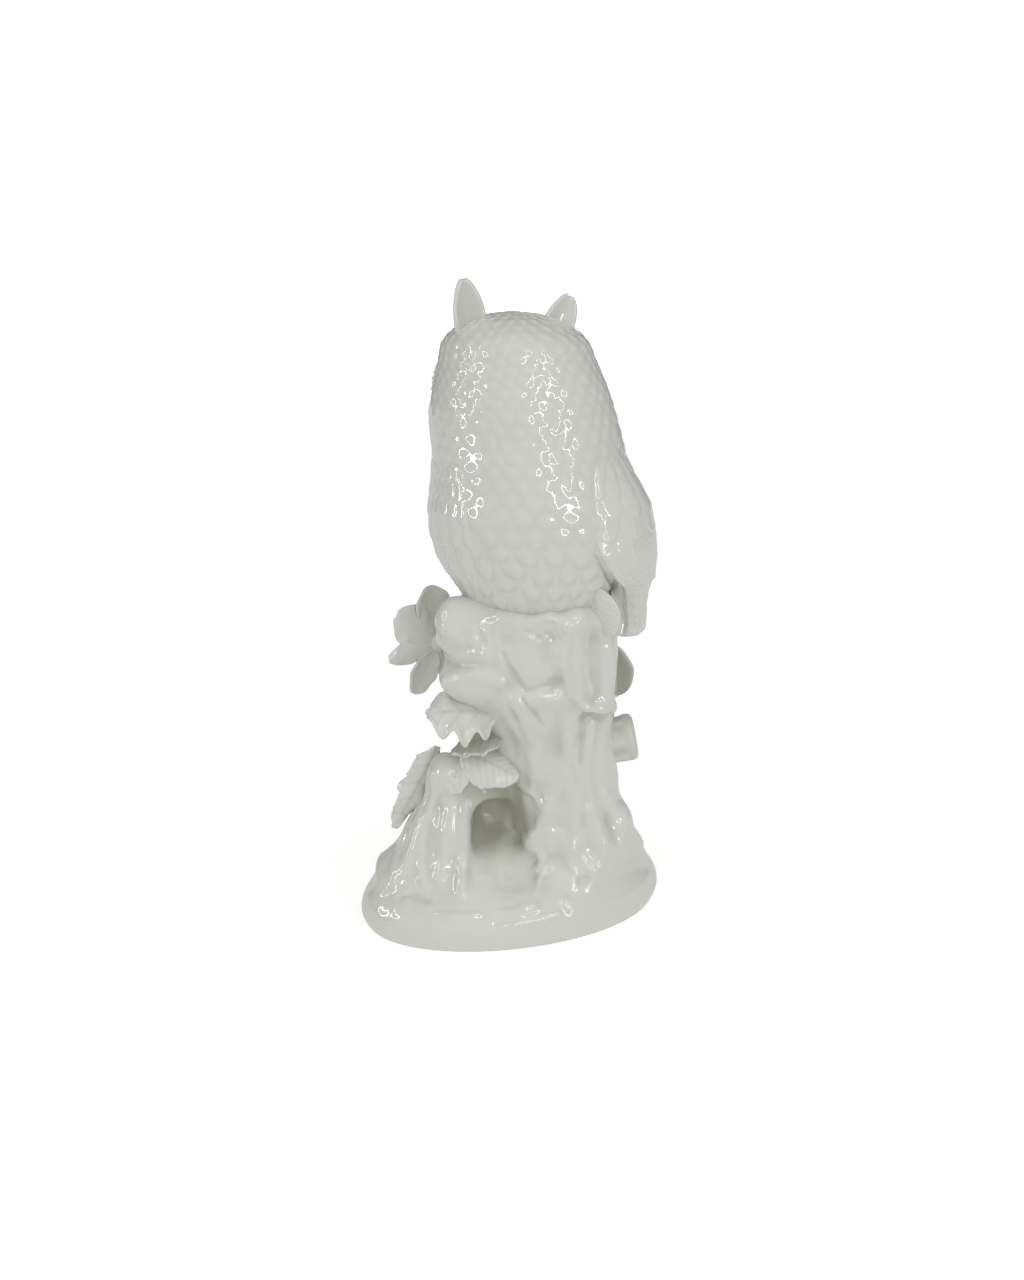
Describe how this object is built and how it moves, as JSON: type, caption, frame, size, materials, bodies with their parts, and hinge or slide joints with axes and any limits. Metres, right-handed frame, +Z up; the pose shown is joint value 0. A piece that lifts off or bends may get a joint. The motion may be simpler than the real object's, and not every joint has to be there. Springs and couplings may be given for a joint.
{
  "type": "owl figurine",
  "caption": "White glazed porcelain owl perched on a hollow tree stump with a flower, leaves, an arched root and an oval base.",
  "frame": {"origin": "under the middle of the oval base, on the plane of its foot rim", "axes": "+Z up; the owl's face looks along -Y and the long way of the oval base lies along X"},
  "size_m": [0.126, 0.083, 0.2515],
  "materials": {
    "owl_glaze": "clear gloss glaze over white hard porcelain",
    "bark_glaze": "clear gloss glaze over white hard porcelain, pooled in the hollows",
    "base_glaze": "clear gloss glaze over white hard porcelain, with an unglazed foot rim",
    "leaf_glaze": "clear gloss glaze over thin hand-made white porcelain",
    "bisque_floor": "unglazed matt porcelain"
  },
  "bodies": {
    "root": {"base_mound": "base_glaze", "floor_plate": "bisque_floor", "stump": "bark_glaze", "root_buttress": "bark_glaze", "branch_stub": "bark_glaze", "owl_body": "owl_glaze", "wing_left": "owl_glaze", "wing_right": "owl_glaze", "tail": "owl_glaze", "ear_left": "owl_glaze", "ear_right": "owl_glaze", "face_disc_left": "owl_glaze", "face_disc_right": "owl_glaze", "eye_left": "owl_glaze", "eye_right": "owl_glaze", "beak": "owl_glaze", "foot_left": "owl_glaze", "foot_right": "owl_glaze", "petal_1": "leaf_glaze", "petal_2": "leaf_glaze", "petal_3": "leaf_glaze", "petal_4": "leaf_glaze", "petal_5": "leaf_glaze", "petal_6": "leaf_glaze", "flower_centre": "leaf_glaze", "leaf_lobed": "leaf_glaze", "leaf_under": "leaf_glaze", "leaf_root": "leaf_glaze", "leaf_root_low": "leaf_glaze", "leaf_side": "leaf_glaze", "leaf_right": "leaf_glaze", "leaf_front_upper": "leaf_glaze", "leaf_front_lower": "leaf_glaze"}
  },
  "joints": []
}
